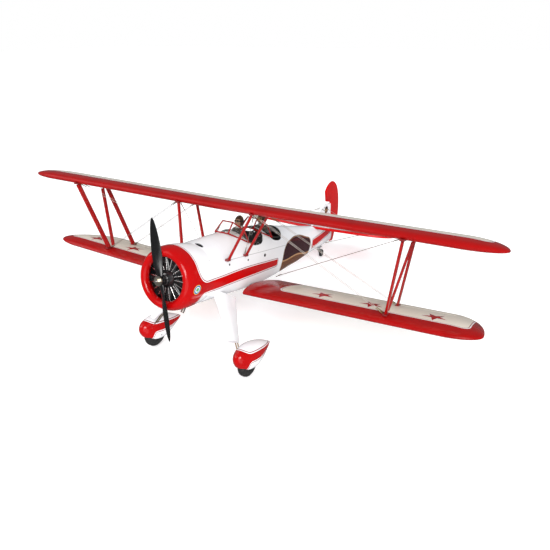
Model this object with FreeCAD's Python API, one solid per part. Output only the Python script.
import FreeCAD, Part
import math
import os

# A large-scale radio-controlled biplane trainer, standing tail-down on its three wheels.
# Every shape is drawn in airframe axes in millimetres: +X towards the port wing tip, +Y aft,
# +Z up, with the origin at the propeller hub on the thrust line. Just before export each shape
# is pitched to the tail-down stance and shifted so that the ground is Z = 0.

# ---------------------------------------------------------------- driving dimensions
PROP_RADIUS = 228.0
PROP_LEAN_DEG = 14.4
HUB_RADIUS = 19.0
SHAFT_RADIUS = 5.0
SHAFT_NOSE = 34.0
SHAFT_SHOULDER = 25.6
SHAFT_STUB_RADIUS = 4.0
RUNNING_GAP = 0.06

UPPER_HALF_SPAN = 1100.0
UPPER_CHORD = 358.0
UPPER_LE = (291.0, 259.0)
UPPER_DIHEDRAL = 0.007
UPPER_INCIDENCE_DEG = 3.2
CENTRE_SECTION_HALF = 200.0

LOWER_HALF_SPAN = 1066.0
LOWER_CHORD = 337.0
LOWER_LE = (418.0, -110.0)
LOWER_DIHEDRAL = 0.036
LOWER_INCIDENCE_DEG = 0.6

AIRFOIL_THICKNESS = 0.125
AIRFOIL_CAMBER = 0.022
TRAILING_EDGE_THICKNESS = 1.6
TIP_LENGTH_UPPER = 150.0
TIP_LENGTH_LOWER = 140.0
TIP_LE_SWEEP = 78.0

AILERON_SPAN = (420.0, 940.0)
AILERON_CHORD = 78.0
SURFACE_GAP = 1.5

MAIN_TRACK_HALF = 240.0
MAIN_AXLE = (272.0, -337.0)
MAIN_TYRE_RADIUS = 59.0
MAIN_TYRE_WIDTH = 34.0
TAIL_AXLE = (1492.0, -84.0)
TAIL_TYRE_RADIUS = 22.0
TAIL_TYRE_WIDTH = 15.0

SKIN = 3.0
SEAM_Z = 55.0
HATCH_Y = (268.0, 814.0)
COWL_REAR_Y = 165.0
FIREWALL_Y = 205.0
FRONT_COCKPIT = (530.0, 86.0, 88.0)
REAR_COCKPIT = (722.0, 82.0, 82.0)
COCKPIT_SQUARENESS = 0.62
COAMING_WIDTH = 9.0
SCREEN_SHIFT = 204.0
SCREEN_BAR_RADIUS = 3.0
HEAD_RADIUS = 25.0
DECK_VENT = (29.0, 179.0)
DECK_VENT_HALVES = (17.5, 10.5)

HINGE_PIN_RADIUS = 1.5
HINGE_EYE_RADIUS = 4.2
HINGE_EYE_WIDTH = 8.0
HINGE_SIDE_GAP = 0.8
HINGE_NOSE_GAP = 0.5

STAB_HALF_SPAN = 440.0
STAB_LE_Y = 1283.0
ELEVATOR_HINGE_Y = 1468.0
STAB_Z = 92.0
STAB_THICKNESS = 13.0
ELEVATOR_CHORD = 118.0
ELEVATOR_ROOT_X = 38.0

RUDDER_HINGE_TOP = (1531.0, 241.0)
RUDDER_HINGE_LOW = (1604.0, -19.0)
RUDDER_THICKNESS = 12.0
FIN_THICKNESS = 12.0
RUDDER_GAP = 8.0

# station y, half width, top z, z of greatest width, bottom z, top exponent, bottom exponent
FUSELAGE_STATIONS = [
    (COWL_REAR_Y, 119.0, 119.0, 0.0, -121.0, 2.0, 2.0),
    (240.0, 113.0, 127.0, 6.0, -120.0, 2.05, 2.3),
    (330.0, 106.0, 137.0, 18.0, -118.0, 2.05, 2.7),
    (430.0, 101.0, 144.0, 30.0, -119.0, 2.05, 3.1),
    (560.0, 98.0, 146.0, 38.0, -118.0, 2.05, 3.4),
    (700.0, 93.0, 143.0, 40.0, -112.0, 2.05, 3.4),
    (850.0, 86.0, 134.0, 38.0, -96.0, 2.05, 3.4),
    (1000.0, 77.0, 122.0, 35.0, -79.0, 2.05, 3.3),
    (1150.0, 66.0, 109.0, 32.0, -58.0, 2.05, 3.1),
    (1300.0, 53.0, 98.0, 30.0, -42.0, 2.1, 2.9),
    (1450.0, 36.0, 92.0, 28.0, -28.0, 2.2, 2.7),
    (1610.0, 9.0, 88.0, 30.0, -14.0, 2.4, 2.5),
]

V = FreeCAD.Vector
X_AXIS = V(1, 0, 0)
Y_AXIS = V(0, 1, 0)
Z_AXIS = V(0, 0, 1)


# ---------------------------------------------------------------- stance on the ground
def stance():
    """Pitch (radians) and ground height that put all three tyres on one plane."""
    dy = TAIL_AXLE[0] - MAIN_AXLE[0]
    dz = TAIL_AXLE[1] - MAIN_AXLE[1]
    reach = math.hypot(dy, dz)
    pitch = math.asin((MAIN_TYRE_RADIUS - TAIL_TYRE_RADIUS) / reach) + math.atan2(dz, dy)
    low = -MAIN_AXLE[0] * math.sin(pitch) + MAIN_AXLE[1] * math.cos(pitch) - MAIN_TYRE_RADIUS
    return pitch, low


def ground_placement(shift_y):
    pitch, low = stance()
    return FreeCAD.Placement(V(0, shift_y, -low), FreeCAD.Rotation(X_AXIS, -math.degrees(pitch)))


# ---------------------------------------------------------------- small helpers
def box(low, high):
    size = V(*high) - V(*low)
    return Part.makeBox(size.x, size.y, size.z, V(*low))


def rod(start, end, radius):
    start, end = V(*start), V(*end)
    return Part.makeCylinder(radius, (end - start).Length, start, end - start)


def polygon_face(points):
    points = [V(*p) for p in points]
    return Part.Face(Part.makePolygon(points + points[:1]))


def axes_placement(origin, x_dir, z_dir):
    z_dir = V(*z_dir).normalize()
    y_dir = z_dir.cross(V(*x_dir)).normalize()
    x_dir = y_dir.cross(z_dir)
    return FreeCAD.Placement(V(*origin), FreeCAD.Rotation(x_dir, y_dir, z_dir, "ZXY"))


def oval_bar(start, end, chord, thickness, chord_dir=(0, 1, 0)):
    """A straight bar of elliptical section, its long axis along chord_dir."""
    start_v, end_v = V(*start), V(*end)
    direction = end_v - start_v
    edge = Part.Ellipse(V(0, 0, 0), chord / 2, thickness / 2).toShape()
    bar = Part.Face(Part.Wire(edge)).extrude(V(0, 0, direction.Length))
    bar.Placement = axes_placement(start, chord_dir, tuple(direction))
    return bar


def revolve_about_y(points):
    """Turn a closed (radius, y) outline about the thrust line."""
    return polygon_face([(r, y, 0) for r, y in points]).revolve(V(0, 0, 0), Y_AXIS, 360)


def mirrored(shape):
    return shape.mirror(V(0, 0, 0), X_AXIS)


def fuse_all(shapes):
    return shapes[0].multiFuse(shapes[1:]).removeSplitter()


def cut_by(shape, blockers):
    """The shape with its neighbours taken out of it, as its largest piece."""
    for blocker in blockers:
        if shape.BoundBox.intersect(blocker.BoundBox):
            shape = shape.cut(blocker)
    return max(shape.Solids, key=lambda solid: solid.Volume)


def group(shapes):
    return Part.makeCompound([solid for shape in shapes for solid in shape.Solids])


# ---------------------------------------------------------------- fuselage
def signed_power(value, exponent):
    return math.copysign(abs(value) ** exponent, value)


def fuselage_wire(station, inset):
    y, half, top, mid, bottom, n_top, n_bottom = station
    points = []
    for step in range(28):
        angle = math.radians(-90 + step * 360 / 28)
        upper = math.sin(angle) > 0
        n = n_top if upper else n_bottom
        height = (top - mid if upper else mid - bottom) - inset
        x = (half - inset) * signed_power(math.cos(angle), 2 / n)
        points.append(V(x, y, mid + height * signed_power(math.sin(angle), 2 / n)))
    curve = Part.BSplineCurve()
    curve.interpolate(points, PeriodicFlag=True)
    return Part.Wire(curve.toShape())


def fuselage_loft(inset, stations=None):
    wires = [fuselage_wire(s, inset) for s in (stations or FUSELAGE_STATIONS)]
    return Part.makeLoft(wires, True, False)


def rudder_plane_y(z):
    slope = (RUDDER_HINGE_LOW[0] - RUDDER_HINGE_TOP[0]) / (RUDDER_HINGE_LOW[1] - RUDDER_HINGE_TOP[1])
    return RUDDER_HINGE_TOP[0] + slope * (z - RUDDER_HINGE_TOP[1])


def slab_between(front_offset, rear_offset, half_width, z_low, z_high):
    """A slab that follows the raked rudder hinge line, between two offsets from it."""
    points = [
        (-half_width, rudder_plane_y(z_low) + front_offset, z_low),
        (-half_width, rudder_plane_y(z_high) + front_offset, z_high),
        (-half_width, rudder_plane_y(z_high) + rear_offset, z_high),
        (-half_width, rudder_plane_y(z_low) + rear_offset, z_low),
    ]
    return polygon_face(points).extrude(V(2 * half_width, 0, 0))


def cockpit_prism(cockpit, grow):
    """An upright rounded prism, oval in plan, through the deck around one cockpit."""
    centre, half_length, half_width = cockpit
    points = []
    for step in range(24):
        angle = math.radians(step * 15)
        x = (half_width + grow) * signed_power(math.cos(angle), COCKPIT_SQUARENESS)
        y = centre + (half_length + grow) * signed_power(math.sin(angle), COCKPIT_SQUARENESS)
        points.append(V(x, y, SEAM_Z + 6))
    curve = Part.BSplineCurve()
    curve.interpolate(points, PeriodicFlag=True)
    return Part.Face(Part.Wire(curve.toShape())).extrude(V(0, 0, 130))


def stab_saddle():
    return box((-80, STAB_LE_Y - 2, STAB_Z - STAB_THICKNESS / 2), (80, ELEVATOR_HINGE_Y + 7, 140))


def deck_vent():
    """The oval hole in the top deck behind the cowling."""
    oval = Part.Face(Part.Wire(Part.Ellipse(V(0, 0, 0), *DECK_VENT_HALVES).toShape()))
    prism = oval.extrude(V(0, 0, 60))
    prism.translate(V(*DECK_VENT, 90))
    return prism


def fuselage_parts():
    outer = fuselage_loft(0)
    inner_stations = [(COWL_REAR_Y - 5,) + FUSELAGE_STATIONS[0][1:]] + FUSELAGE_STATIONS[1:-1]
    shell = outer.cut(fuselage_loft(SKIN, inner_stations))
    tail_cut = slab_between(-RUDDER_GAP, 200, 60, -60, 140)
    hatch_box = box((-150, HATCH_Y[0], SEAM_Z), (150, HATCH_Y[1], 200))
    fuselage = shell.cut(tail_cut).cut(hatch_box).cut(stab_saddle())
    torque_rod_hole = rod((-60, ELEVATOR_HINGE_Y, STAB_Z), (60, ELEVATOR_HINGE_Y, STAB_Z), 4)
    fuselage = fuselage.cut(deck_vent()).cut(torque_rod_hole)
    fuselage = fuselage.cut(wing_root_slot())
    hatch = shell.common(box((-150, HATCH_Y[0] + 0.4, SEAM_Z + 0.4), (150, HATCH_Y[1] - 0.4, 200)))
    for cockpit in (FRONT_COCKPIT, REAR_COCKPIT):
        hatch = hatch.cut(cockpit_prism(cockpit, 0))
    return fuselage, hatch


def coamings():
    skin_band = fuselage_loft(-4).cut(fuselage_loft(SKIN + 4))
    rings = []
    for cockpit in (FRONT_COCKPIT, REAR_COCKPIT):
        ring = cockpit_prism(cockpit, -0.2).cut(cockpit_prism(cockpit, -COAMING_WIDTH))
        rings.append(ring.common(skin_band))
    return group(rings)


def cockpit_floor():
    floors = []
    for centre, half_length, half_width in (FRONT_COCKPIT, REAR_COCKPIT):
        low = (-half_width + 6, centre - half_length + 2, 2)
        floors.append(box(low, (half_width - 6, centre + half_length - 2, 6)))
    return group(floors)


def seat(centre):
    pan = box((-34, centre - 22, 6), (34, centre + 34, 20))
    back = box((-34, centre + 34, 6), (34, centre + 42, 84))
    return fuse_all([pan, back])


def instrument_panel(cockpit):
    centre, half_length = cockpit[:2]
    panel_y = centre - half_length + 14
    plate = box((-66, panel_y, 40), (66, panel_y + 4, 118))
    return plate.common(fuselage_loft(SKIN + 6))


# ---------------------------------------------------------------- windscreens
# three flat panes in a frame: base and top corners of the port half, front to rear
SCREEN_BASE = [(32.0, 372.0, 143.0), (86.0, 458.0, 106.0)]
SCREEN_TOP = [(25.0, 413.0, 186.0), (62.0, 446.0, 158.0)]


def screen_corners(shift):
    base = [V(x, y + shift, z + (3 if shift else 0)) for x, y, z in SCREEN_BASE]
    top = [V(x, y + shift, z + (3 if shift else 0)) for x, y, z in SCREEN_TOP]
    return base, top


def flip(point):
    return V(-point.x, point.y, point.z)


def screen_panes(shift):
    base, top = screen_corners(shift)
    centre = [flip(base[0]), base[0], top[0], flip(top[0])]
    side_plane_rear_top = top[0] + (top[1] - top[0])
    panes = []
    front_normal = (centre[1] - centre[0]).cross(centre[3] - centre[0]).normalize()
    panes.append(Part.Face(Part.makePolygon(centre + centre[:1])).extrude(front_normal * 1.0))
    triangle_a = Part.makePolygon([base[0], base[1], top[0], base[0]])
    triangle_b = Part.makePolygon([base[1], side_plane_rear_top, top[0], base[1]])
    for sign in (1, -1):
        for wire in (triangle_a, triangle_b):
            corners = [v.Point for v in wire.OrderedVertexes]
            if sign < 0:
                corners = [flip(c) for c in corners]
            normal = (corners[1] - corners[0]).cross(corners[2] - corners[0]).normalize()
            face = Part.Face(Part.makePolygon(corners + corners[:1]))
            panes.append(face.extrude(normal * 1.0 * sign))
    return panes


def screen_frame(shift):
    base, top = screen_corners(shift)
    path_port = [(base[0], base[1]), (base[1], top[1]), (top[1], top[0]), (top[0], base[0])]
    bars = []
    for start, end in path_port:
        for a, b in ((start, end), (flip(start), flip(end))):
            bars.append(rod(tuple(a), tuple(b), SCREEN_BAR_RADIUS))
    bars.append(rod(tuple(flip(base[0])), tuple(base[0]), SCREEN_BAR_RADIUS))
    bars.append(rod(tuple(flip(top[0])), tuple(top[0]), SCREEN_BAR_RADIUS))
    for corner in base + top:
        for point in (corner, flip(corner)):
            bars.append(Part.makeSphere(SCREEN_BAR_RADIUS + 0.2, point))
    return fuse_all(bars)


def windscreens():
    frames = []
    panes = []
    for shift in (0.0, SCREEN_SHIFT):
        frame = screen_frame(shift).cut(fuselage_loft(-0.05))
        frames.append(frame)
        for pane in screen_panes(shift):
            for neighbour in [frame, fuselage_loft(-0.1)] + panes:
                pane = pane.cut(neighbour)
            panes.append(pane)
    return group(frames), group(panes)


# ---------------------------------------------------------------- nose
COWL_OUTLINE = [
    (119.2, COWL_REAR_Y - 0.4), (123.0, 120.0), (124.5, 80.0), (121.5, 42.0), (114.0, 22.0),
    (101.0, 9.5), (90.0, 12.5), (83.5, 23.0), (84.0, 33.0), (86.5, 33.0), (87.5, 24.5),
    (92.5, 16.5), (100.5, 13.0), (111.5, 24.5), (118.5, 43.0), (121.3, 80.0), (120.0, 120.0),
    (116.4, COWL_REAR_Y - 0.4),
]


def cowling():
    outline = [V(r, y, 0) for r, y in COWL_OUTLINE]
    outer = Part.BSplineCurve()
    outer.interpolate(outline[:9])
    inner = Part.BSplineCurve()
    inner.interpolate(outline[9:])
    edges = [outer.toShape(), Part.LineSegment(outline[8], outline[9]).toShape(), inner.toShape(),
             Part.LineSegment(outline[-1], outline[0]).toShape()]
    shell = Part.Face(Part.Wire(edges)).revolve(V(0, 0, 0), Y_AXIS, 360)
    exhaust_gap = box((12, 60, -140), (70, 112, -90))
    vent_hole = rod((16, 150, -100), (14, 152, -166), 3.4)
    return shell.cut(exhaust_gap).cut(vent_hole)


def finned_cylinder(angle):
    barrel = [Part.makeCylinder(13, 66, V(0, 58, 30), Z_AXIS)]
    for fin in range(9):
        barrel.append(Part.makeCylinder(17, 2.6, V(0, 58, 42 + fin * 5.2), Z_AXIS))
    barrel.append(Part.makeCylinder(15, 12, V(0, 58, 90), Z_AXIS))
    solid = fuse_all(barrel)
    solid.rotate(V(0, 0, 0), Y_AXIS, angle)
    return solid


def dummy_engine():
    backplate = revolve_about_y([(12, 76), (115, 76), (115, 79), (12, 79)])
    crankcase_outline = [(7, 76), (7, 24), (13, 24), (22, 28), (29, 38), (31, 48), (33, 60), (33, 76)]
    crankcase = revolve_about_y(crankcase_outline)
    cylinders = [finned_cylinder(index * 40.0 + 20.0) for index in range(9)]
    return fuse_all([crankcase, backplate] + cylinders)


def pushrod_tubes():
    tubes = []
    for index in range(18):
        angle = math.radians(index * 20.0 + 10.0)
        start = (34 * math.sin(angle), 38, 34 * math.cos(angle))
        end = (80 * math.sin(angle), 40, 80 * math.cos(angle))
        tubes.append(rod(start, end, 2.0))
    return group(tubes)


def firewall():
    station = (FIREWALL_Y, 115.5, 122.5, 3.0, -119.5, 2.03, 2.15)
    disc = Part.Face(fuselage_wire(station, SKIN + 0.6)).extrude(V(0, 6, 0))
    return disc.cut(rod((0, 190, 34), (0, 220, 34), 4))


def engine_standoffs():
    posts = []
    for x in (-24, 24):
        for z in (-24, 24):
            posts.append(rod((x, 150, z), (x, FIREWALL_Y, z), 6))
    return group(posts)


def engine_block():
    crankcase = rod((0, 92, 0), (0, 144, 0), 27)
    backplate = box((-32, 144, -32), (32, 150, 32))
    barrel = [crankcase, backplate, rod((0, 118, -20), (0, 118, -104), 19)]
    for fin in range(8):
        z = -34 - fin * 8.5
        barrel.append(rod((0, 118, z), (0, 118, z - 3), 27))
    block = fuse_all(barrel)
    return block.cut(rod((0, 85, 0), (0, 128, 0), SHAFT_RADIUS + RUNNING_GAP))


def exhaust():
    elbow = [rod((27.5, 118, -70), (46, 118, -70), 7), Part.makeSphere(7, V(46, 118, -70)),
             rod((46, 118, -70), (38, 88, -134), 7)]
    return fuse_all(elbow).cut(rod((39.5, 93, -124), (37.4, 86, -140), 5))


def fuel_tank():
    body = box((-45, 225, -38), (45, 385, 34))
    edges = [e for e in body.Edges if abs(e.Vertexes[0].Y - e.Vertexes[1].Y) > 50]
    body = body.makeFillet(16, edges)
    return fuse_all([body, rod((0, 212, 20), (0, 226, 20), 12)])


def fuel_vent_tube():
    return fuse_all([rod((16, 196, -60), (16, 150, -112), 2.8), Part.makeSphere(2.8, V(16, 150, -112)),
                     rod((16, 150, -112), (14, 152, -166), 2.8)])


def battery():
    return box((-30, 212, 62), (30, 275, 92))


def servo(x, y, z):
    case = box((x - 10, y - 20, z), (x + 10, y + 20, z + 36))
    ears = box((x - 10, y - 27, z + 26), (x + 10, y + 27, z + 29))
    post = rod((x, y - 9, z + 36), (x, y - 9, z + 42), 3)
    return fuse_all([case, ears, post])


def fuselage_servos():
    return [servo(-28, 845, -30), servo(28, 845, -30)]


# ---------------------------------------------------------------- propeller group
def crankshaft():
    shaft = rod((0, -SHAFT_SHOULDER, 0), (0, 126, 0), SHAFT_RADIUS)
    stub = rod((0, -SHAFT_NOSE, 0), (0, -SHAFT_SHOULDER, 0), SHAFT_STUB_RADIUS)
    driver = rod((0, 11.1, 0), (0, 18, 0), HUB_RADIUS)
    return fuse_all([shaft, stub, driver])


def blade_section(radius_at, chord, thickness, twist_deg):
    points = [(-0.5, 0.0), (-0.25, 0.42), (0.05, 0.5), (0.35, 0.22), (0.5, 0.0), (0.3, -0.3),
              (-0.1, -0.4), (-0.38, -0.28)]
    twist = math.radians(twist_deg)
    section = []
    for u, w in points:
        a, b = u * chord, w * thickness
        x = a * math.cos(twist) - b * math.sin(twist)
        y = a * math.sin(twist) + b * math.cos(twist)
        section.append(V(x, y, radius_at))
    curve = Part.BSplineCurve()
    curve.interpolate(section, PeriodicFlag=True)
    return Part.Wire(curve.toShape())


def propeller():
    stations = [(0.0, 24, 18, 0), (0.09, 25, 17, 10), (0.22, 32, 11, 30), (0.42, 37, 7, 24),
                (0.64, 34, 5.2, 17), (0.84, 25, 3.8, 12), (0.95, 14, 2.8, 10), (1.0, 4, 1.8, 9)]
    wires = [blade_section(r * PROP_RADIUS, c, t, a) for r, c, t, a in stations]
    upper = Part.makeLoft(wires, True, False)
    lower = upper.copy()
    lower.rotate(V(0, 0, 0), Y_AXIS, 180)
    hub = rod((0, -11, 0), (0, 11, 0), HUB_RADIUS)
    prop = fuse_all([hub, upper, lower]).cut(rod((0, -30, 0), (0, 30, 0), SHAFT_RADIUS + 0.02))
    prop.rotate(V(0, 0, 0), Y_AXIS, -PROP_LEAN_DEG)
    return prop


def prop_washer():
    plate = rod((0, -11.1, 0), (0, -16, 0), HUB_RADIUS - 1)
    return plate.cut(rod((0, -30, 0), (0, 0, 0), SHAFT_RADIUS + 0.02))


def prop_nut():
    corners = []
    for index in range(6):
        angle = math.radians(index * 60)
        corners.append((9.5 * math.cos(angle), -16.1, 9.5 * math.sin(angle)))
    nut = polygon_face(corners).extrude(V(0, -9, 0))
    return nut.cut(rod((0, -30, 0), (0, 0, 0), SHAFT_RADIUS + 0.02))


# ---------------------------------------------------------------- wings
def airfoil_points(chord, thickness_ratio, camber):
    """Upper points from trailing to leading edge, and lower points back again."""
    upper, lower = [], []
    count = 11
    crest = 0.35
    for index in range(count + 1):
        s = 0.5 * (1 - math.cos(math.pi * index / count))
        half = 5 * thickness_ratio * (0.2969 * math.sqrt(s) - 0.1260 * s - 0.3516 * s ** 2
                                      + 0.2843 * s ** 3 - 0.1015 * s ** 4)
        half += TRAILING_EDGE_THICKNESS / 2 / chord * s
        if s < crest:
            mean = camber / crest ** 2 * (2 * crest * s - s ** 2)
        else:
            mean = camber / (1 - crest) ** 2 * (1 - 2 * crest + 2 * crest * s - s ** 2)
        upper.append((s * chord, (mean + half) * chord))
        lower.append((s * chord, (mean - half) * chord))
    return upper[::-1], lower


def airfoil_wire(x, y_le, z_le, chord, incidence_deg, thickness_ratio=AIRFOIL_THICKNESS):
    upper, lower = airfoil_points(chord, thickness_ratio, AIRFOIL_CAMBER)
    tilt = math.radians(incidence_deg)

    def place(point):
        s, t = point
        y = y_le + s * math.cos(tilt) + t * math.sin(tilt)
        return V(x, y, z_le - s * math.sin(tilt) + t * math.cos(tilt))

    top = Part.BSplineCurve()
    top.interpolate([place(p) for p in upper])
    under = Part.BSplineCurve()
    under.interpolate([place(p) for p in lower])
    tail = Part.LineSegment(place(lower[-1]), place(upper[0]))
    return Part.Wire([top.toShape(), under.toShape(), tail.toShape()])


def tip_stations(half_span, tip_length, chord):
    """(x, leading-edge setback, chord) through a rounded tip."""
    start = half_span - tip_length
    rows = [(start, 0.0, chord)]
    for fraction in (0.3, 0.55, 0.75, 0.9, 0.97, 0.998):
        fade = 1 - math.sqrt(1 - fraction ** 2)
        front = TIP_LE_SWEEP * fade
        rear = (chord - TIP_LE_SWEEP) * fade
        rows.append((start + fraction * tip_length, front, chord - front - rear))
    return rows


def wing_panel(root_x, half_span, tip_length, chord, leading, dihedral, incidence):
    y_le, z_le = leading
    tilt = math.radians(incidence)
    rows = tip_stations(half_span, tip_length, chord)
    straight = [airfoil_wire(x, y_le, z_le + dihedral * x, chord, incidence)
                for x in (root_x, rows[0][0])]
    tip = []
    for x, setback, tip_chord in rows:
        y = y_le + setback * math.cos(tilt)
        lift = 0.014 * setback
        z = z_le + dihedral * x - setback * math.sin(tilt) + lift
        tip.append(airfoil_wire(x, y, z, tip_chord, incidence))
    return fuse_all([Part.makeLoft(straight, True, True), Part.makeLoft(tip, True, False)])


def upper_spar_line(fraction, height):
    """A point on the upper wing at a chord fraction, height above the chord line, at x = 0."""
    tilt = math.radians(UPPER_INCIDENCE_DEG)
    return (UPPER_LE[0] + fraction * UPPER_CHORD * math.cos(tilt),
            UPPER_LE[1] - fraction * UPPER_CHORD * math.sin(tilt) + height)


def upper_joiner(radius):
    y, z = upper_spar_line(0.3, 7)
    return rod((-430, y, z + 1.4), (430, y, z + 1.4), radius)


def upper_wing():
    outer = wing_panel(CENTRE_SECTION_HALF + 0.3, UPPER_HALF_SPAN, TIP_LENGTH_UPPER, UPPER_CHORD,
                       UPPER_LE, UPPER_DIHEDRAL, UPPER_INCIDENCE_DEG)
    centre_wires = [airfoil_wire(x, UPPER_LE[0], UPPER_LE[1] + UPPER_DIHEDRAL * abs(x), UPPER_CHORD,
                                 UPPER_INCIDENCE_DEG) for x in (0, CENTRE_SECTION_HALF)]
    half = Part.makeLoft(centre_wires, True, True)
    centre = half.fuse(mirrored(half))
    bore = upper_joiner(10.1)
    return centre.cut(bore), outer.cut(bore), mirrored(outer).cut(bore)


def lower_joiner(radius):
    y = LOWER_LE[0] + 0.3 * LOWER_CHORD
    z = LOWER_LE[1] + 7
    return rod((4, y, z + 4 * LOWER_DIHEDRAL), (330, y, z + 330 * LOWER_DIHEDRAL), radius)


def aileron_hinge_y():
    return LOWER_LE[0] + LOWER_CHORD - AILERON_CHORD


def aileron_hinge_point(x):
    """The hinge axis lies half way between the wing's skins."""
    tilt = math.radians(LOWER_INCIDENCE_DEG)
    upper, lower = airfoil_points(LOWER_CHORD, AIRFOIL_THICKNESS, AIRFOIL_CAMBER)
    wanted = aileron_hinge_y() - LOWER_LE[0]

    def height(points):
        for a, b in zip(points, points[1:]):
            low, high = min(a, b), max(a, b)
            if low[0] <= wanted <= high[0]:
                return low[1] + (high[1] - low[1]) * (wanted - low[0]) / (high[0] - low[0])
        return 0.0

    middle = (height(upper) + height(lower)) / 2
    z = LOWER_LE[1] + LOWER_DIHEDRAL * x - wanted * math.tan(tilt) + middle
    return V(x, aileron_hinge_y(), z), (height(upper) - height(lower)) / 2


def hinge_eyes(points, axis, towards, reach):
    """Fixed eyes round a hinge pin, each with a tongue of the given reach."""
    eyes = []
    axis = V(*axis).normalize()
    towards = V(*towards).normalize()
    for point in points:
        start = point - axis * (HINGE_EYE_WIDTH / 2)
        eye = Part.makeCylinder(HINGE_EYE_RADIUS, HINGE_EYE_WIDTH, start, axis)
        side = axis.cross(towards).normalize()
        thickness = 3.0
        corners = [start + side * (thickness / 2), start - side * (thickness / 2)]
        corners += [corners[1] + towards * reach, corners[0] + towards * reach]
        tongue = Part.Face(Part.makePolygon(corners + corners[:1])).extrude(axis * HINGE_EYE_WIDTH)
        bore = Part.makeCylinder(HINGE_PIN_RADIUS, HINGE_EYE_WIDTH + 4, start - axis * 2, axis)
        eyes.append(eye.fuse(tongue).cut(bore).removeSplitter())
    return eyes


def hinge_notches(points, axis, nose_radius):
    """Round slots that the eyes sit in, cut right through the nose of the moving surface."""
    depth = nose_radius + HINGE_NOSE_GAP
    axis = V(*axis).normalize()
    width = HINGE_EYE_WIDTH + 2 * HINGE_SIDE_GAP
    return [Part.makeCylinder(depth, width, p - axis * (width / 2), axis) for p in points]


AILERON_HINGES_X = (470.0, 680.0, 890.0)


def lower_wing_port():
    panel = wing_panel(100.6, LOWER_HALF_SPAN, TIP_LENGTH_LOWER, LOWER_CHORD, LOWER_LE,
                       LOWER_DIHEDRAL, LOWER_INCIDENCE_DEG)
    panel = panel.cut(lower_joiner(10.1)).cut(aileron_servo_box(0.3))
    inner, radius = aileron_hinge_point(AILERON_SPAN[0])
    outer, radius = aileron_hinge_point(AILERON_SPAN[1])
    nose = radius - 0.6
    axis = (outer - inner).normalize()
    bay = box((AILERON_SPAN[0], aileron_hinge_y() - nose - SURFACE_GAP, -160),
              (AILERON_SPAN[1], aileron_hinge_y() + 120, 20))
    surface_box = box((AILERON_SPAN[0] + SURFACE_GAP, aileron_hinge_y(), -160),
                      (AILERON_SPAN[1] - SURFACE_GAP, aileron_hinge_y() + 120, 20))
    start = inner + axis * SURFACE_GAP
    length = (outer - inner).Length - 2 * SURFACE_GAP
    points = [aileron_hinge_point(x)[0] for x in AILERON_HINGES_X]
    half_notch = HINGE_EYE_WIDTH / 2 + HINGE_SIDE_GAP
    aileron = panel.common(surface_box)
    for point in points:
        notch_low = (point.x - half_notch, point.y - 1, -160)
        aileron = aileron.cut(box(notch_low, (point.x + half_notch, point.y + HINGE_EYE_RADIUS + 2, 20)))
    stops = [SURFACE_GAP]
    for point in points:
        along = (point - inner).dot(axis)
        stops += [along - half_notch, along + half_notch]
    stops.append(SURFACE_GAP + length)
    nose_pieces = [Part.makeCylinder(nose, b - a, inner + axis * a, axis)
                   for a, b in zip(stops[::2], stops[1::2])]
    aileron = fuse_all([aileron] + nose_pieces)
    pin_bore = Part.makeCylinder(HINGE_PIN_RADIUS + RUNNING_GAP, length + 4, start - axis * 2, axis)
    aileron = aileron.cut(pin_bore)
    pin = Part.makeCylinder(HINGE_PIN_RADIUS, length, start, axis)
    eyes = hinge_eyes(points, tuple(axis), (0, -1, 0), nose + SURFACE_GAP)
    return panel.cut(bay), aileron, pin, eyes


def aileron_servo_box(grow):
    z = LOWER_LE[1] + LOWER_DIHEDRAL * 680 - 6
    low = (660 - grow, LOWER_LE[0] + 125 - grow, z - grow)
    high = (696 + grow, LOWER_LE[0] + 165 + grow, z + 20 + grow)
    return box(low, high)


def wing_root_slot():
    return group([lower_joiner(10.3), mirrored(lower_joiner(10.3))])


# ---------------------------------------------------------------- struts and rigging
STRUT_UPPER_X = 770.0
STRUT_LOWER_X = 714.0
UPPER_SPAR_Y = (305.0, 484.0)
LOWER_SPAR_Y = (456.0, 627.0)
STRUT_CHORD = 27.0
STRUT_THICKNESS = 10.0
STRUT_DIAGONAL_OFFSET = V(0, 28, 8)


def wing_surface_z(leading, chord, dihedral, incidence, x, y, upper_side):
    """Height of one skin of a wing at a plan position."""
    tilt = math.radians(incidence)
    upper, lower = airfoil_points(chord, AIRFOIL_THICKNESS, AIRFOIL_CAMBER)
    s = y - leading[0]
    points = sorted(upper if upper_side else lower)
    for a, b in zip(points, points[1:]):
        if a[0] <= s <= b[0]:
            t = a[1] + (b[1] - a[1]) * (s - a[0]) / (b[0] - a[0])
            return leading[1] + dihedral * x - s * math.tan(tilt) + t
    return leading[1]


def under_upper(x, y):
    return wing_surface_z(UPPER_LE, UPPER_CHORD, UPPER_DIHEDRAL, UPPER_INCIDENCE_DEG, abs(x), y, False)


def over_lower(x, y):
    return wing_surface_z(LOWER_LE, LOWER_CHORD, LOWER_DIHEDRAL, LOWER_INCIDENCE_DEG, abs(x), y, True)


def strut_ends():
    tops = [V(STRUT_UPPER_X, y, under_upper(STRUT_UPPER_X, y) - 4) for y in UPPER_SPAR_Y]
    feet = [V(STRUT_LOWER_X, y, over_lower(STRUT_LOWER_X, y) + 4) for y in LOWER_SPAR_Y]
    return tops, feet


def shortened(start, end, gap):
    step = (end - start).normalize() * gap
    return start + step, end - step


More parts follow.
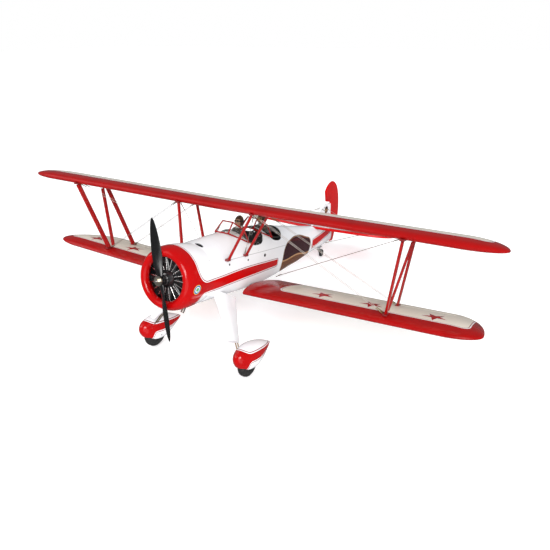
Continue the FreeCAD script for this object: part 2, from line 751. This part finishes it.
def interplane_struts():
    tops, feet = strut_ends()
    bars = []
    for foot, top in zip(feet, tops):
        a, b = shortened(foot, top, 2)
        bars.append(oval_bar(tuple(a), tuple(b), STRUT_CHORD, STRUT_THICKNESS))
    a, b = shortened(feet[0] + STRUT_DIAGONAL_OFFSET, tops[1] - STRUT_DIAGONAL_OFFSET, 2)
    bars.append(oval_bar(tuple(a), tuple(b), STRUT_CHORD * 0.8, STRUT_THICKNESS))
    return bars


CABANE_TOP_X = 178.0
CABANE_TOP_Y = (302.0, 431.0)
CABANE_FEET = ((115.0, 264.0, 64.0), (107.0, 411.0, 63.0))
CABANE_CHORD = 18.0
CABANE_THICKNESS = 9.0


def cabane_ends():
    tops = [V(CABANE_TOP_X, y, under_upper(CABANE_TOP_X, max(y, UPPER_LE[0] + 12)) - 3)
            for y in CABANE_TOP_Y]
    feet = [V(*foot) for foot in CABANE_FEET]
    return tops, feet


def cabane_struts():
    tops, feet = cabane_ends()
    fuselage = fuselage_loft(-0.1)
    return [oval_bar(tuple(foot), tuple(top), CABANE_CHORD, CABANE_THICKNESS).cut(fuselage)
            for foot, top in zip(feet, tops)]


def strut_fittings():
    """Small folded plates that hold the strut ends and wire clevises to the wings."""
    tops, feet = strut_ends()
    fittings = []
    for point in feet:
        z = over_lower(point.x, point.y)
        fittings.append(box((point.x - 8, point.y - 17, z - 1), (point.x + 8, point.y + 17, z + 5.5)))
    for point in tops:
        z = under_upper(point.x, point.y)
        fittings.append(box((point.x - 8, point.y - 17, z - 5.5), (point.x + 8, point.y + 17, z + 1)))
    cabane_tops, cabane_feet = cabane_ends()
    for point in cabane_tops:
        low = (point.x - 7, point.y - 12, point.z - 2)
        fittings.append(box(low, (point.x + 7, point.y + 12, point.z + 4)))
    for point in cabane_feet:
        low = (point.x - 10, point.y - 11, point.z - 7)
        fittings.append(box(low, (point.x + 3, point.y + 11, point.z + 2)))
    return fittings


WIRE_RADIUS = 0.8
CLEVIS_LENGTH = 32.0
CLEVIS_STANDOFF = 1.0
WIRE_CLEAR_X = 11.0


def rigging_routes():
    """End points of every tensioned wire on the port side of the wings."""
    tops, feet = strut_ends()
    cabane_tops, cabane_feet = cabane_ends()
    brace = (cabane_feet[1] + V(0, -14, 8), cabane_tops[0] + V(0, 15, -4))
    routes = [brace]
    root = [V(101, 716, -84), V(101, 740, -82)]
    for start, offset in zip(root, (-9, 9)):
        routes.append((start, tops[0] + V(-WIRE_CLEAR_X, 12 + offset, 2)))
    for offset in (-7, 7):
        for top, foot in zip(cabane_tops, feet):
            routes.append((top + V(WIRE_CLEAR_X, offset, 0), foot + V(-WIRE_CLEAR_X, offset, 2)))
    return routes


def tail_routes():
    """Bracing wires from the stern up to the stabiliser, and from it up to the fin."""
    stab_x, stab_y = 276.0, 1358.0
    half = STAB_THICKNESS / 2
    routes = []
    for aft in (0.0, 78.0):
        stern = V(34, 1452 + aft * 0.5, -12)
        fin_side = V(FIN_THICKNESS / 2, 1405 + aft * 0.45, 190 + aft * 0.1)
        routes.append((stern, V(stab_x, stab_y + aft, STAB_Z - half)))
        routes.append((V(stab_x, stab_y + aft, STAB_Z + half), fin_side))
    return routes


def clevis_pair(start, end, wire_radius):
    """The wire and its two end clevises, cut so that they only touch."""
    direction = (end - start).normalize()
    pieces = []
    for base, sign in ((start, 1), (end, -1)):
        step = direction * sign
        root = base + step * CLEVIS_STANDOFF
        body = Part.makeCylinder(2.0, CLEVIS_LENGTH * 0.4, root, step)
        sleeve = Part.makeCylinder(1.5, CLEVIS_LENGTH * 0.6, root + step * CLEVIS_LENGTH * 0.4, step)
        pieces.append(body.fuse(sleeve).removeSplitter())
    a, b = shortened(start, end, CLEVIS_LENGTH + CLEVIS_STANDOFF)
    wire = Part.makeCylinder(wire_radius, (b - a).Length, a, b - a)
    return wire, pieces


# ---------------------------------------------------------------- tail surfaces
def eased_plate(outline, corners, half, middle, centre, lay):
    """A thin surface whose spline outline is eased towards both faces like a rounded edge."""
    wires = []
    for level, inset in ((-1, 0.7), (-0.6, 0.22), (0, 0), (0.6, 0.22), (1, 0.7)):
        shrunk = []
        for point in outline:
            reach = math.hypot(centre[0] - point[0], centre[1] - point[1])
            step = inset * half / reach
            shrunk.append((point[0] + (centre[0] - point[0]) * step,
                           point[1] + (centre[1] - point[1]) * step))
        height = middle + level * half
        curve = Part.BSplineCurve()
        curve.interpolate([lay(p, height) for p in shrunk])
        edges = [curve.toShape()]
        rest = [shrunk[-1]] + corners + [shrunk[0]]
        for a, b in zip(rest, rest[1:]):
            edges.append(Part.LineSegment(lay(a, height), lay(b, height)).toShape())
        wires.append(Part.Wire(edges))
    return Part.makeLoft(wires, True, True)


def lay_flat(point, height):
    return V(point[0], point[1], height)


def lay_upright(point, height):
    return V(height, point[0], point[1])


def stabiliser():
    rear_y = ELEVATOR_HINGE_Y - 8
    half = [(150, STAB_LE_Y + 18), (300, STAB_LE_Y + 48), (390, STAB_LE_Y + 88),
            (428, STAB_LE_Y + 128), (STAB_HALF_SPAN, rear_y)]
    outline = [(-x, y) for x, y in reversed(half)] + [(0, STAB_LE_Y)] + half
    return eased_plate(outline, [], STAB_THICKNESS / 2, STAB_Z, (0, 1420), lay_flat)


ELEVATOR_HINGES_X = (120.0, 260.0, 400.0)


def elevator_port():
    radius = STAB_THICKNESS / 2 - 0.5
    y0 = ELEVATOR_HINGE_Y
    outline = [(STAB_HALF_SPAN - 1, y0), (436, y0 + 30), (415, y0 + 62), (370, y0 + 92), (290, y0 + 112),
               (200, y0 + ELEVATOR_CHORD), (120, y0 + 116), (64, y0 + 104)]
    corners = [(ELEVATOR_ROOT_X, y0 + 40), (ELEVATOR_ROOT_X, y0)]
    slab = eased_plate(outline, corners, radius, STAB_Z, (220, y0 + 30), lay_flat)
    wedge_points = [(0, y0 - 1, STAB_Z - radius), (0, y0 - 1, STAB_Z + radius),
                    (0, y0 + ELEVATOR_CHORD + 2, STAB_Z + 1.2), (0, y0 + ELEVATOR_CHORD + 2, STAB_Z - 1.2)]
    wedge = polygon_face(wedge_points).extrude(V(STAB_HALF_SPAN + 10, 0, 0))
    leading = rod((ELEVATOR_ROOT_X, y0, STAB_Z), (STAB_HALF_SPAN - 3, y0, STAB_Z), radius)
    surface = slab.common(wedge).fuse(leading).removeSplitter()
    points = [V(x, y0, STAB_Z) for x in ELEVATOR_HINGES_X]
    for notch in hinge_notches(points, (1, 0, 0), radius):
        surface = surface.cut(notch)
    surface = surface.cut(rod((90, y0, STAB_Z), (450, y0, STAB_Z), HINGE_PIN_RADIUS + RUNNING_GAP))
    surface = surface.cut(rod((0, y0, STAB_Z), (86, y0, STAB_Z), 3.0))
    pin = rod((92, y0, STAB_Z), (430, y0, STAB_Z), HINGE_PIN_RADIUS)
    eyes = hinge_eyes(points, (1, 0, 0), (0, -1, 0), 8.0)
    return surface, pin, eyes


def elevator_torque_rod():
    return rod((-84, ELEVATOR_HINGE_Y, STAB_Z), (84, ELEVATOR_HINGE_Y, STAB_Z), 3.0)


def fin():
    saddle_z = STAB_Z + STAB_THICKNESS / 2
    lead = [(STAB_LE_Y + 12, saddle_z), (1330, 126), (1370, 170), (1408, 203), (1452, 216)]
    corners = [(rudder_plane_y(219) - RUDDER_GAP, 219.0), (rudder_plane_y(88) - RUDDER_GAP, 88.0),
               (ELEVATOR_HINGE_Y + 8, 88.0), (ELEVATOR_HINGE_Y + 8, saddle_z)]
    plate = eased_plate(lead, corners, FIN_THICKNESS / 2, 0.0, (1500, 130), lay_upright)
    lower_clear = rod((-70, ELEVATOR_HINGE_Y, STAB_Z), (70, ELEVATOR_HINGE_Y, STAB_Z), 9)
    return plate.cut(fuselage_loft(-0.1)).cut(lower_clear)


RUDDER_HINGES_Z = (20.0, 120.0, 198.0)
HORN_LOW_Z = 226.0


def rudder():
    radius = RUDDER_THICKNESS / 2 - 0.5
    low, high = RUDDER_HINGE_LOW, RUDDER_HINGE_TOP
    outline = [(low[0] + 10, low[1]), (low[0] + 38, low[1] + 3), (1656, 14), (1672, 80), (1682, 150),
               (1668, 215), (1638, 280), (1588, 333), (1524, 352), (1471, 330), (1439, 291)]
    corners = [(1469, HORN_LOW_Z + 5), (rudder_plane_y(HORN_LOW_Z), HORN_LOW_Z), low]
    plate = eased_plate(outline, corners, RUDDER_THICKNESS / 2, 0.0, (1570, 190), lay_upright)
    taper = []
    for sign in (-1, 1):
        points = [(sign * 6.1, 1430, 400), (sign * 6.1, rudder_plane_y(120), 400),
                  (sign * 1.2, 1690, 400), (sign * 20, 1690, 400), (sign * 20, 1430, 400)]
        taper.append(polygon_face(points).extrude(V(0, 0, -440)))
    for wedge in taper:
        plate = plate.cut(wedge)
    axis = (V(0, *high) - V(0, *low)).normalize()
    length = (V(0, *high) - V(0, *low)).Length
    leading = Part.makeCylinder(radius, length, V(0, *low), axis)
    surface = plate.fuse(leading).removeSplitter()
    points = [V(0, rudder_plane_y(z), z) for z in RUDDER_HINGES_Z]
    for notch in hinge_notches(points, tuple(axis), radius):
        surface = surface.cut(notch)
    pin_start = V(0, *low) + axis * 4
    surface = surface.cut(Part.makeCylinder(HINGE_PIN_RADIUS + RUNNING_GAP, length, pin_start, axis))
    pin = Part.makeCylinder(HINGE_PIN_RADIUS, length - 6, pin_start + axis * 0.5, axis)
    forward = V(0, -axis.z, axis.y)
    eyes = hinge_eyes(points, tuple(axis), tuple(forward), RUDDER_GAP * axis.z - 0.1)
    return surface, pin, eyes


# ---------------------------------------------------------------- landing gear
def streamlined_wire(centre, chord, thickness, plane_normal, chord_dir):
    points = [(-0.5, 0.0), (-0.42, 0.36), (-0.18, 0.5), (0.2, 0.3), (0.5, 0.0), (0.2, -0.3),
              (-0.18, -0.5), (-0.42, -0.36)]
    place = axes_placement(tuple(centre), tuple(chord_dir), tuple(plane_normal))
    curve = Part.BSplineCurve()
    curve.interpolate([place.multVec(V(u * chord, w * thickness, 0)) for u, w in points],
                      PeriodicFlag=True)
    return Part.Wire(curve.toShape())


LEG_TOP = (92.0, 296.0, -96.0)
LEG_FOOT = (203.0, 215.0, -244.0)


def gear_leg():
    direction = V(*LEG_FOOT) - V(*LEG_TOP)
    rows = [(0.0, 132, 34), (0.45, 94, 28), (1.0, 60, 21)]
    wires = []
    for fraction, chord, thickness in rows:
        centre = V(*LEG_TOP) + direction * fraction
        wires.append(streamlined_wire(centre, chord, thickness, direction, (0, 1, 0)))
    leg = Part.makeLoft(wires, True, False)
    return leg.cut(fuselage_loft(-0.1)).cut(gear_wire_bores())


GEAR_WIRE_RADIUS = 2.5
GEAR_WIRE_X = MAIN_TRACK_HALF - 29.0
GEAR_FOOT = V(GEAR_WIRE_X, MAIN_AXLE[0] - 42, MAIN_AXLE[1] + 57.5)
GEAR_SHOULDER = V(GEAR_WIRE_X, MAIN_AXLE[0] - 10, MAIN_AXLE[1] + 25.5)


def gear_wire_runs():
    top_front, top_rear = V(150, 248, -172), V(150, 266, -172)
    return [(top_front, GEAR_FOOT), (top_rear, GEAR_FOOT + V(0, 14, 0)), (GEAR_FOOT, GEAR_SHOULDER)]


def gear_wire_bores():
    bores = []
    for start, end in gear_wire_runs()[:2]:
        bores.append(Part.makeCylinder(GEAR_WIRE_RADIUS, (end - start).Length, start, end - start))
    return group(bores)


def gear_wire():
    pieces = []
    for start, end in gear_wire_runs():
        pieces.append(Part.makeCylinder(GEAR_WIRE_RADIUS, (end - start).Length, start, end - start))
        pieces.append(Part.makeSphere(GEAR_WIRE_RADIUS, end))
    axle_inner = V(GEAR_WIRE_X, *MAIN_AXLE)
    axle_outer = V(MAIN_TRACK_HALF + 30, *MAIN_AXLE)
    joint = gear_wire_runs()[1][1]
    for start, end in ((GEAR_SHOULDER, axle_inner), (joint, GEAR_SHOULDER), (axle_inner, axle_outer)):
        pieces.append(Part.makeCylinder(GEAR_WIRE_RADIUS, (end - start).Length, start, end - start))
    pieces.append(Part.makeSphere(GEAR_WIRE_RADIUS, axle_inner))
    return fuse_all(pieces)


def pant_wire(behind, above, half_width, half_height):
    y, z_mid = MAIN_AXLE[0] + behind, MAIN_AXLE[1] + above
    points = []
    for step in range(20):
        angle = math.radians(-90 + step * 18)
        x = MAIN_TRACK_HALF + half_width * signed_power(math.cos(angle), 0.9)
        points.append(V(x, y, z_mid + half_height * signed_power(math.sin(angle), 0.9)))
    curve = Part.BSplineCurve()
    curve.interpolate(points, PeriodicFlag=True)
    return Part.Wire(curve.toShape())


# behind the axle, above the axle, half width, half height
PANT_STATIONS = [
    (-93.0, 37.5, 4.0, 5.0), (-86.0, 35.5, 17.0, 20.0), (-70.0, 32.0, 29.0, 35.0),
    (-44.0, 29.5, 38.0, 48.0), (-12.0, 28.5, 42.5, 55.5), (28.0, 27.5, 41.0, 56.0),
    (73.0, 29.5, 33.0, 47.0), (123.0, 34.5, 19.0, 27.0), (158.0, 38.5, 8.0, 10.0),
    (171.0, 39.5, 2.5, 3.0),
]


def wheel_pant():
    outer = Part.makeLoft([pant_wire(*s) for s in PANT_STATIONS], True, False)
    inner_rows = [(y, z, w - 3, h - 3) for y, z, w, h in PANT_STATIONS[1:-2]]
    inner_rows[0] = (inner_rows[0][0] + 4,) + inner_rows[0][1:]
    inner = Part.makeLoft([pant_wire(*s) for s in inner_rows], True, False)
    mouth = box((MAIN_TRACK_HALF - 24, MAIN_AXLE[0] - 70, -420),
                (MAIN_TRACK_HALF + 24, MAIN_AXLE[0] + 70, MAIN_AXLE[1] - 2.5))
    shell = outer.cut(inner).cut(mouth)
    inner_hole = rod((MAIN_TRACK_HALF - 60, *MAIN_AXLE), (MAIN_TRACK_HALF, *MAIN_AXLE), 5)
    return shell.cut(inner_hole).cut(gear_wire_clearance())


def gear_wire_clearance():
    holes = []
    for start, end in gear_wire_runs():
        holes.append(Part.makeCylinder(GEAR_WIRE_RADIUS + 0.6, (end - start).Length + 2, start, end - start))
    for start, end in ((gear_wire_runs()[1][1], GEAR_SHOULDER), (GEAR_SHOULDER, V(GEAR_WIRE_X, *MAIN_AXLE))):
        holes.append(Part.makeCylinder(GEAR_WIRE_RADIUS + 0.6, (end - start).Length, start, end - start))
    return group(holes)


def wheel(x, axle, tyre_radius, tyre_width, hub_radius, bore_radius):
    """A balloon tyre and its two-flange hub, turned about an axle along X."""
    half = tyre_width / 2
    tyre_points = [(hub_radius, -half * 0.55), (hub_radius + 4, -half * 0.95), (tyre_radius * 0.82, -half),
                   (tyre_radius * 0.95, -half * 0.72), (tyre_radius, 0.0), (tyre_radius * 0.95, half * 0.72),
                   (tyre_radius * 0.82, half), (hub_radius + 4, half * 0.95), (hub_radius, half * 0.55)]
    curve = Part.BSplineCurve()
    outline = [V(u, 0, r) for r, u in tyre_points]
    curve.interpolate(outline)
    closing = Part.LineSegment(outline[-1], outline[0])
    tyre = Part.Face(Part.Wire([curve.toShape(), closing.toShape()])).revolve(V(0, 0, 0), X_AXIS, 360)
    hub_points = [(bore_radius, -half * 0.8), (hub_radius * 0.42, -half * 0.8), (hub_radius * 0.5, -half * 0.35),
                  (hub_radius * 0.9, -half * 0.55), (hub_radius, -half * 0.55), (hub_radius, half * 0.55),
                  (hub_radius * 0.9, half * 0.55), (hub_radius * 0.5, half * 0.35),
                  (hub_radius * 0.42, half * 0.8), (bore_radius, half * 0.8)]
    hub_outline = [V(u, 0, r) for r, u in hub_points]
    hub = Part.Face(Part.makePolygon(hub_outline + hub_outline[:1])).revolve(V(0, 0, 0), X_AXIS, 360)
    for shape in (tyre, hub):
        shape.translate(V(x, *axle))
    return tyre, hub


def wheel_collars():
    collars = []
    for sign in (1, -1):
        for offset in (-1, 1):
            x = MAIN_TRACK_HALF + offset * (MAIN_TYRE_WIDTH * 0.4 + 1)
            start = V(sign * x, *MAIN_AXLE)
            end = V(sign * (x + offset * 5), *MAIN_AXLE)
            collar = Part.makeCylinder(5.5, 5, start, end - start)
            collars.append(collar.cut(Part.makeCylinder(GEAR_WIRE_RADIUS, 9, start - (end - start) * 0.4,
                                                        end - start)))
    return group(collars)


# ---------------------------------------------------------------- tail wheel
def tail_bracket():
    """A spring blade under the stern that ends in a vertical bearing for the fork."""
    blade = box((-9, 1376, -44), (9, 1472, -40))
    bearing = rod((0, 1462, -44), (0, 1462, -30), 6)
    seat_block = box((-9, 1380, -41), (9, 1430, -24)).cut(fuselage_loft(-0.1))
    bracket = fuse_all([blade, bearing, seat_block])
    return bracket.cut(rod((0, 1462, -60), (0, 1462, -20), 2.5 + RUNNING_GAP))


def tail_fork():
    stem = rod((0, 1462, -58), (0, 1462, -29.5), 2.5)
    crown = box((-13, 1455, -62), (13, 1472, -57))
    half = TAIL_TYRE_WIDTH / 2 + 2.0
    arms = [stem, crown]
    for sign in (-1, 1):
        x = sign * half
        low, high = min(x, x + sign * 2.5), max(x, x + sign * 2.5)
        points = [(low, 1455, -62), (low, 1472, -62), (low, TAIL_AXLE[0] + 6, TAIL_AXLE[1] + 4),
                  (low, TAIL_AXLE[0] + 4, TAIL_AXLE[1] - 5), (low, TAIL_AXLE[0] - 5, TAIL_AXLE[1] - 5)]
        arms.append(polygon_face(points).extrude(V(high - low, 0, 0)))
    outer = half + 3
    arms.append(rod((-outer, *TAIL_AXLE), (outer, *TAIL_AXLE), 2.0))
    return fuse_all(arms)


# ---------------------------------------------------------------- pilots
def pilot(centre_y, top_z):
    head = Part.makeSphere(HEAD_RADIUS, V(0, centre_y, top_z - HEAD_RADIUS))
    neck = rod((0, centre_y + 3, top_z - 62), (0, centre_y + 2, top_z - 34), 10)
    chest = Part.makeSphere(30, V(0, centre_y + 4, top_z - 84))
    body = fuse_all([head, neck, chest])
    lower = rod((0, centre_y + 6, 22), (0, centre_y + 5, top_z - 80), 25)
    return fuse_all([body, lower])


# ---------------------------------------------------------------- assembly
def build():
    nodes = {}
    nodes["fuselage_shell"], nodes["cockpit_hatch"] = fuselage_parts()
    nodes["cockpit_coamings"] = coamings()
    nodes["cockpit_floors"] = cockpit_floor()
    nodes["cockpit_seats"] = group([seat(FRONT_COCKPIT[0]), seat(REAR_COCKPIT[0])])
    nodes["instrument_panels"] = group([instrument_panel(FRONT_COCKPIT), instrument_panel(REAR_COCKPIT)])
    frames, panes = windscreens()
    nodes["windscreen_frames"] = frames.cut(nodes["cockpit_coamings"])
    nodes["windscreen_panes"] = panes.cut(nodes["cockpit_coamings"])
    nodes["pilot_figures"] = group([pilot(505, 207), pilot(700, 203)])
    nodes["cowling"] = cowling()
    nodes["dummy_radial_engine"] = dummy_engine()
    nodes["pushrod_tubes"] = pushrod_tubes()
    nodes["firewall"] = firewall()
    nodes["engine_standoffs"] = engine_standoffs()
    nodes["engine_block"] = engine_block()
    nodes["exhaust_pipe"] = exhaust()
    nodes["fuel_tank"] = fuel_tank()
    nodes["fuel_vent_tube"] = fuel_vent_tube()
    nodes["battery_pack"] = battery()
    nodes["crankshaft"] = crankshaft()
    nodes["propeller"] = propeller()
    nodes["prop_washer"] = prop_washer()
    nodes["prop_nut"] = prop_nut()

    centre, port, starboard = upper_wing()
    nodes["upper_wing_centre"] = centre
    nodes["upper_wing_left"] = port
    nodes["upper_wing_right"] = starboard
    panel, aileron, aileron_pin, aileron_eyes = lower_wing_port()
    nodes["lower_wing_left"] = panel
    nodes["lower_wing_right"] = mirrored(panel)
    nodes["wing_joiner_tubes"] = group([upper_joiner(10.0), lower_joiner(10.0), mirrored(lower_joiner(10.0))])
    nodes["aileron_left"] = aileron
    nodes["aileron_right"] = mirrored(aileron)
    wing_servo = aileron_servo_box(0)
    nodes["servos"] = group(fuselage_servos() + [wing_servo, mirrored(wing_servo)])

    wings = [centre, port, panel]
    struts = [cut_by(strut, wings) for strut in interplane_struts()]
    nodes["interplane_struts_left"] = group(struts)
    nodes["interplane_struts_right"] = group([mirrored(s) for s in struts])
    cabanes = [cut_by(strut, wings) for strut in cabane_struts()]
    nodes["cabane_struts"] = group(cabanes + [mirrored(s) for s in cabanes])
    blockers = wings + [fuselage_loft(-0.05)] + struts + cabanes
    fittings = [cut_by(fitting, blockers) for fitting in strut_fittings()]
    nodes["strut_fittings"] = group(fittings + [mirrored(f) for f in fittings])

    nodes["stabiliser"] = stabiliser()
    nodes["fin"] = fin()
    blockers += fittings + [nodes["stabiliser"], nodes["fin"]]
    wires, clevises = [], []
    for start, end in rigging_routes() + tail_routes():
        wire, ends = clevis_pair(start, end, WIRE_RADIUS)
        wires.append(wire)
        clevises.extend([cut_by(piece, blockers) for piece in ends])
    nodes["rigging_wires"] = group(wires + [mirrored(w) for w in wires])
    nodes["wire_clevises"] = group(clevises + [mirrored(c) for c in clevises])

    surface, elevator_pin, elevator_eyes = elevator_port()
    nodes["elevator_left"] = surface
    nodes["elevator_right"] = mirrored(surface)
    nodes["elevator_torque_rod"] = elevator_torque_rod()
    nodes["rudder"], rudder_pin, rudder_eyes = rudder()
    paired_pins = [aileron_pin, elevator_pin]
    nodes["hinge_pins"] = group(paired_pins + [mirrored(p) for p in paired_pins] + [rudder_pin])
    paired_eyes = aileron_eyes + elevator_eyes
    nodes["hinge_eyes"] = group(paired_eyes + [mirrored(e) for e in paired_eyes] + rudder_eyes)

    leg, wire, pant = gear_leg(), gear_wire(), wheel_pant()
    nodes["gear_leg_left"] = leg
    nodes["gear_leg_right"] = mirrored(leg)
    nodes["gear_wires"] = group([wire, mirrored(wire)])
    nodes["wheel_pant_left"] = pant
    nodes["wheel_pant_right"] = mirrored(pant)
    tyre, hub = wheel(MAIN_TRACK_HALF, MAIN_AXLE, MAIN_TYRE_RADIUS, MAIN_TYRE_WIDTH, 27.0,
                      GEAR_WIRE_RADIUS + RUNNING_GAP)
    nodes["tyre_left"], nodes["wheel_hub_left"] = tyre, hub
    nodes["tyre_right"], nodes["wheel_hub_right"] = mirrored(tyre), mirrored(hub)
    nodes["wheel_collars"] = wheel_collars()
    nodes["tail_wheel_bracket"] = tail_bracket()
    nodes["tail_wheel_fork"] = tail_fork()
    tyre, hub = wheel(0.0, TAIL_AXLE, TAIL_TYRE_RADIUS, TAIL_TYRE_WIDTH, 11.0, 2.0 + RUNNING_GAP)
    nodes["tail_tyre"], nodes["tail_wheel_hub"] = tyre, hub
    return nodes


def export(nodes):
    os.makedirs("parts", exist_ok=True)
    placement = ground_placement(0.0)
    everything = FreeCAD.BoundBox()
    placed = {}
    for name, shape in nodes.items():
        moved = shape.copy()
        moved.Placement = placement.multiply(moved.Placement)
        placed[name] = moved
        everything.add(moved.optimalBoundingBox())
    shift = V(0, -(everything.YMin + everything.YMax) / 2, 0)
    for name, shape in placed.items():
        shape.translate(shift)
        shape.exportStep("parts/" + name + ".step")
    pitch, low = stance()
    print("pitch_deg", math.degrees(pitch), "shift_y", shift.y, "lift_z", -low)
    print("box", everything)


export(build())
